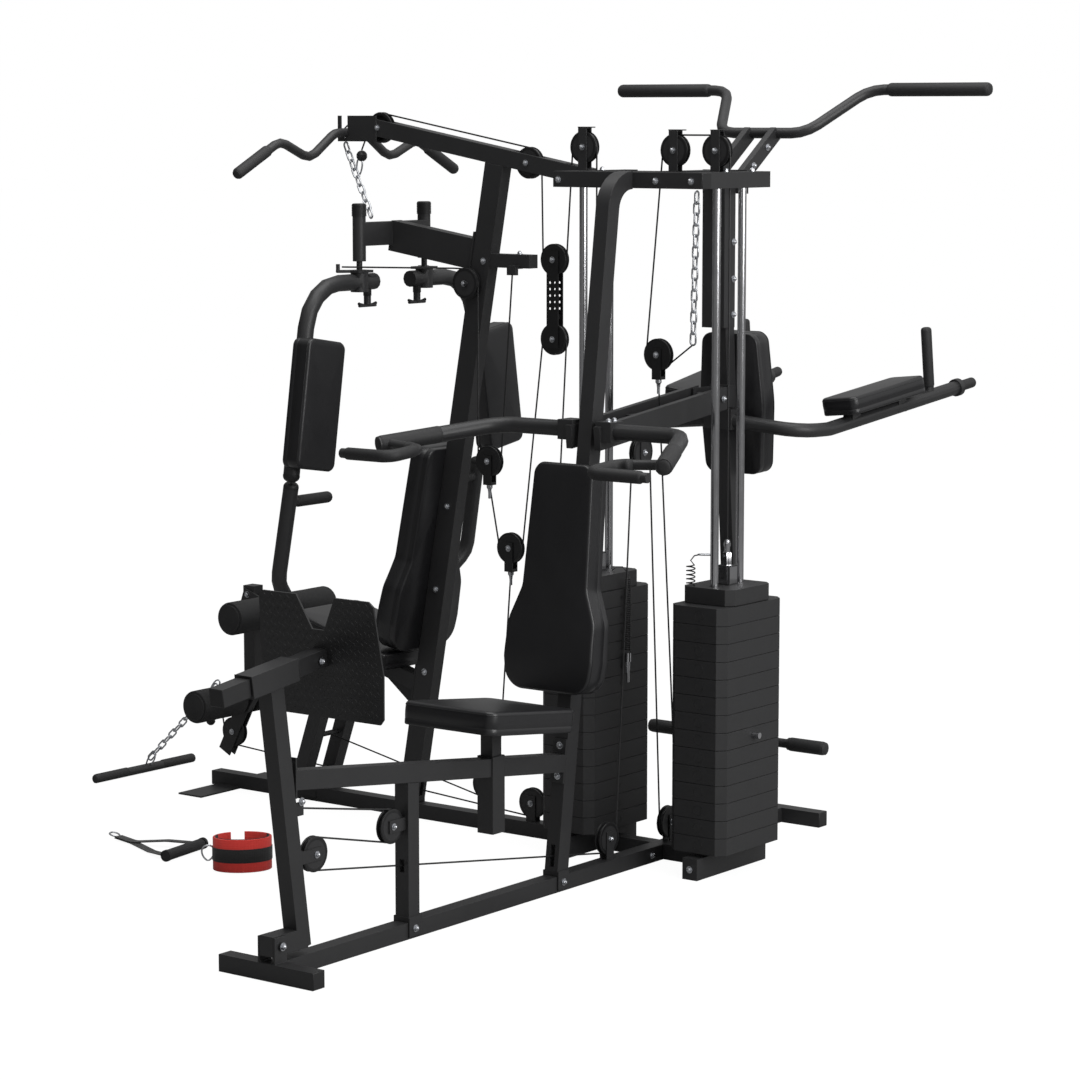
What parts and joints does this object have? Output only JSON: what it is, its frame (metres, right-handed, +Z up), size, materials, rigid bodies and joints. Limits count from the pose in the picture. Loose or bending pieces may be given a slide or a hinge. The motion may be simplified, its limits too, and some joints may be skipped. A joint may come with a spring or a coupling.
{
  "type": "multi station home gym",
  "caption": "Frame-mounted strength machine with weight stacks, cable pulleys, a press arm, butterfly arms, leg lever, dip arms and pull-up bar.",
  "frame": {"origin": "middle of the footprint's bounding box, on the floor", "axes": "+Z up; -X is the seated press station, +Y is the butterfly and lat station, +X is the dip and leg-raise station"},
  "size_m": [3.0492, 2.741, 2.242],
  "materials": {
    "powder_coat": "satin fine-textured charcoal powder coat",
    "vinyl_pad": "black upholstery vinyl over foam",
    "foam_sleeve": "closed-cell foam",
    "coated_cable": "nylon-coated steel cable",
    "chromed_steel": "polished",
    "cast_plate": "dark painted",
    "nylon": "moulded",
    "tread_plate": "diamond tread, powder coated",
    "webbing": "woven",
    "neoprene": "red neoprene"
  },
  "bodies": {
    "frame": {"front_base": "powder_coat", "side_base": "powder_coat", "rear_base": "powder_coat", "right_stack_base": "powder_coat", "left_stack_base": "powder_coat", "front_upright": "powder_coat", "front_post": "powder_coat", "front_seat_beam": "powder_coat", "side_upright": "powder_coat", "side_seat_beam": "powder_coat", "rear_upright": "powder_coat", "top_frame": "powder_coat", "boom": "powder_coat", "butterfly_frame": "powder_coat", "pull_up_bar": "powder_coat", "dip_arms": "powder_coat", "right_guide_rods": "chromed_steel", "left_guide_rods": "chromed_steel", "right_stack_resting": "cast_plate", "left_stack_resting": "cast_plate", "front_back_pad": "vinyl_pad", "side_seat_pad": "vinyl_pad", "side_back_pad": "vinyl_pad", "rear_back_pad": "vinyl_pad", "right_arm_pad": "vinyl_pad", "left_arm_pad": "vinyl_pad", "upper_roller_left": "foam_sleeve", "upper_roller_right": "foam_sleeve", "right_stack_cable": "coated_cable", "press_cable": "coated_cable", "lat_cable": "coated_cable", "low_row_cable": "coated_cable", "butterfly_cable": "coated_cable", "leg_extension_cable": "coated_cable", "double_pulley_block": "nylon", "hanging_pulley_right": "nylon", "hanging_pulley_high": "nylon", "hanging_pulley_low": "nylon"},
    "right_lift": {"right_stack_lifted": "cast_plate"},
    "right_pin": {"right_selector_pin": "chromed_steel"},
    "left_lift": {"left_stack_lifted": "cast_plate"},
    "left_pin": {"left_selector_pin": "chromed_steel"},
    "seat": {"front_seat_post": "powder_coat", "front_seat_pad": "vinyl_pad"},
    "butterfly_left": {"butterfly_arm_left": "powder_coat", "butterfly_pad_left": "vinyl_pad"},
    "butterfly_right": {"butterfly_arm_right": "powder_coat", "butterfly_pad_right": "vinyl_pad"},
    "side_press": {"side_press_arm": "powder_coat"},
    "press": {"press_arm": "powder_coat"},
    "lever": {"leg_press_lever": "powder_coat"},
    "foot": {"foot_plate": "tread_plate"},
    "developer": {"leg_developer": "powder_coat", "lower_roller_left": "foam_sleeve", "lower_roller_right": "foam_sleeve"},
    "lat_handle": {"lat_bar": "powder_coat"},
    "row_handle": {"low_row_bar": "powder_coat"},
    "tip_wheel": {"boom_tip_pulley": "nylon"},
    "strap": {"strap_handle": "webbing"},
    "ankle": {"ankle_strap": "neoprene"}
  },
  "joints": [
    {"name": "right_stack_lift", "type": "slide", "parent": "frame", "child": "right_lift", "axis": [0, 0, 1], "range_m": [0, 0.75], "deforming": ["right_stack_cable"]},
    {"name": "right_pin_pull", "type": "slide", "parent": "right_lift", "child": "right_pin", "axis": [0, -1, 0], "range_m": [0, 0.14]},
    {"name": "left_stack_lift", "type": "slide", "parent": "frame", "child": "left_lift", "axis": [0, 0, 1], "range_m": [0, 0.75], "deforming": ["lat_cable"]},
    {"name": "left_pin_swing", "type": "slide", "parent": "frame", "child": "left_pin", "axis": [0, -1, 0], "range_m": [0, 0.1]},
    {"name": "press_arm_lift", "type": "hinge", "parent": "frame", "child": "press", "pos_m": [0.58532, -0.7135, 1.332], "axis": [0, 1, 0], "range_deg": [0, 18], "deforming": ["press_cable"]},
    {"name": "leg_press_push", "type": "hinge", "parent": "frame", "child": "lever", "pos_m": [-1.32968, -0.7135, 0.088], "axis": [0, -1, 0], "range_deg": [0, 28], "stiffness_Nm_per_rad": 100, "springref_deg": -57.3},
    {"name": "foot_plate_set", "type": "slide", "parent": "lever", "child": "foot", "axis": [0.9914, 0, 0.1309], "range_m": [-0.05, 0.04]},
    {"name": "leg_extension", "type": "hinge", "parent": "frame", "child": "developer", "pos_m": [0.37032, 0.8815, 0.637], "axis": [1, 0, 0], "range_deg": [0, 80], "deforming": ["low_row_cable"]},
    {"name": "side_press_push", "type": "hinge", "parent": "frame", "child": "side_press", "pos_m": [0.37032, 0.6265, 0.075], "axis": [-1, 0, 0], "range_deg": [0, 25], "stiffness_Nm_per_rad": 60, "springref_deg": -57.3, "deforming": ["leg_extension_cable"]},
    {"name": "butterfly_left_swing", "type": "hinge", "parent": "frame", "child": "butterfly_left", "pos_m": [0.21632, 0.2965, 1.654], "axis": [0, 0, 1], "range_deg": [-80, 0], "deforming": ["butterfly_cable"]},
    {"name": "butterfly_right_swing", "type": "hinge", "parent": "frame", "child": "butterfly_right", "pos_m": [0.52432, 0.2965, 1.654], "axis": [0, 0, 1], "range_deg": [0, 80]},
    {"name": "seat_height", "type": "slide", "parent": "frame", "child": "seat", "axis": [0, 0, 1], "range_m": [0, 0.09]},
    {"name": "lat_bar_lift", "type": "slide", "parent": "frame", "child": "lat_handle", "axis": [0, 0, 1], "range_m": [0, 0.12]},
    {"name": "row_bar_lift", "type": "slide", "parent": "frame", "child": "row_handle", "axis": [0, 0, 1], "range_m": [0, 0.3]},
    {"name": "boom_tip_spin", "type": "hinge", "parent": "frame", "child": "tip_wheel", "pos_m": [0.37032, 0.3335, 2.114], "axis": [1, 0, 0], "continuous": true},
    {"name": "strap_lift", "type": "slide", "parent": "frame", "child": "strap", "axis": [0, 0, 1], "range_m": [0, 0.3]},
    {"name": "ankle_strap_lift", "type": "slide", "parent": "frame", "child": "ankle", "axis": [0, 0, 1], "range_m": [0, 0.3]}
  ]
}
